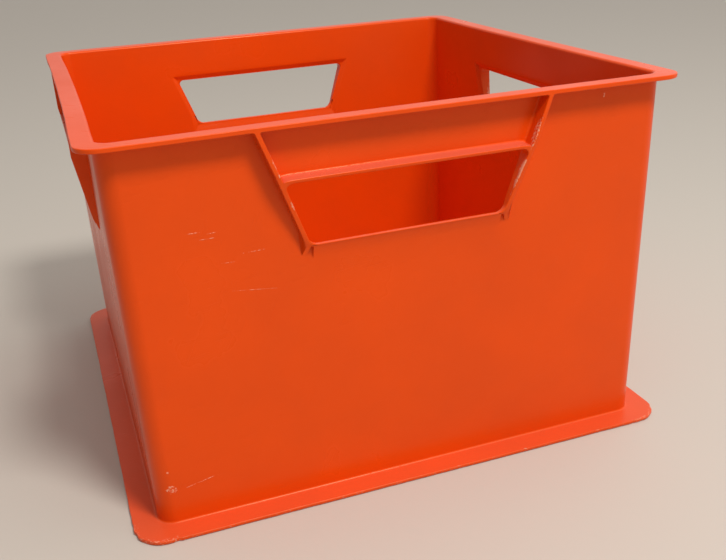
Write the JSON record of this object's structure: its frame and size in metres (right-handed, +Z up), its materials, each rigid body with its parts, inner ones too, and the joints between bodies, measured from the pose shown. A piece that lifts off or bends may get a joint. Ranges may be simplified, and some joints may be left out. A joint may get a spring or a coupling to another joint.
{
  "type": "milk bottle crate",
  "caption": "Square open-topped moulded crate with thin leaning walls, a flanged rim and base, and a ribbed trapezoidal hand hole in each wall.",
  "frame": {"origin": "middle of the underside of the base, on the surface that the crate stands on", "axes": "+Z up out of the open top; +X to the right along the front wall; +Y from the front wall to the back wall"},
  "size_m": [0.4, 0.4, 0.263],
  "materials": {
    "orange_polyethylene": "moulded, glossy, lightly scratched"
  },
  "bodies": {
    "root": {"floor": "orange_polyethylene", "front_base_flange": "orange_polyethylene", "front_wall": "orange_polyethylene", "front_wall_beside_hole_left": "orange_polyethylene", "front_wall_beside_hole_right": "orange_polyethylene", "front_sill": "orange_polyethylene", "front_grip_panel": "orange_polyethylene", "front_grip_lip": "orange_polyethylene", "front_grip_rib_left": "orange_polyethylene", "front_grip_rib_right": "orange_polyethylene", "front_rim": "orange_polyethylene", "right_base_flange": "orange_polyethylene", "right_wall": "orange_polyethylene", "right_wall_beside_hole_left": "orange_polyethylene", "right_wall_beside_hole_right": "orange_polyethylene", "right_sill": "orange_polyethylene", "right_grip_panel": "orange_polyethylene", "right_grip_lip": "orange_polyethylene", "right_grip_rib_left": "orange_polyethylene", "right_grip_rib_right": "orange_polyethylene", "right_rim": "orange_polyethylene", "back_base_flange": "orange_polyethylene", "back_wall": "orange_polyethylene", "back_wall_beside_hole_left": "orange_polyethylene", "back_wall_beside_hole_right": "orange_polyethylene", "back_sill": "orange_polyethylene", "back_grip_panel": "orange_polyethylene", "back_grip_lip": "orange_polyethylene", "back_grip_rib_left": "orange_polyethylene", "back_grip_rib_right": "orange_polyethylene", "back_rim": "orange_polyethylene", "left_base_flange": "orange_polyethylene", "left_wall": "orange_polyethylene", "left_wall_beside_hole_left": "orange_polyethylene", "left_wall_beside_hole_right": "orange_polyethylene", "left_sill": "orange_polyethylene", "left_grip_panel": "orange_polyethylene", "left_grip_lip": "orange_polyethylene", "left_grip_rib_left": "orange_polyethylene", "left_grip_rib_right": "orange_polyethylene", "left_rim": "orange_polyethylene", "front_right_base_corner": "orange_polyethylene", "front_right_corner_post": "orange_polyethylene", "front_right_rim_corner": "orange_polyethylene", "back_right_base_corner": "orange_polyethylene", "back_right_corner_post": "orange_polyethylene", "back_right_rim_corner": "orange_polyethylene", "back_left_base_corner": "orange_polyethylene", "back_left_corner_post": "orange_polyethylene", "back_left_rim_corner": "orange_polyethylene", "front_left_base_corner": "orange_polyethylene", "front_left_corner_post": "orange_polyethylene", "front_left_rim_corner": "orange_polyethylene"}
  },
  "joints": []
}
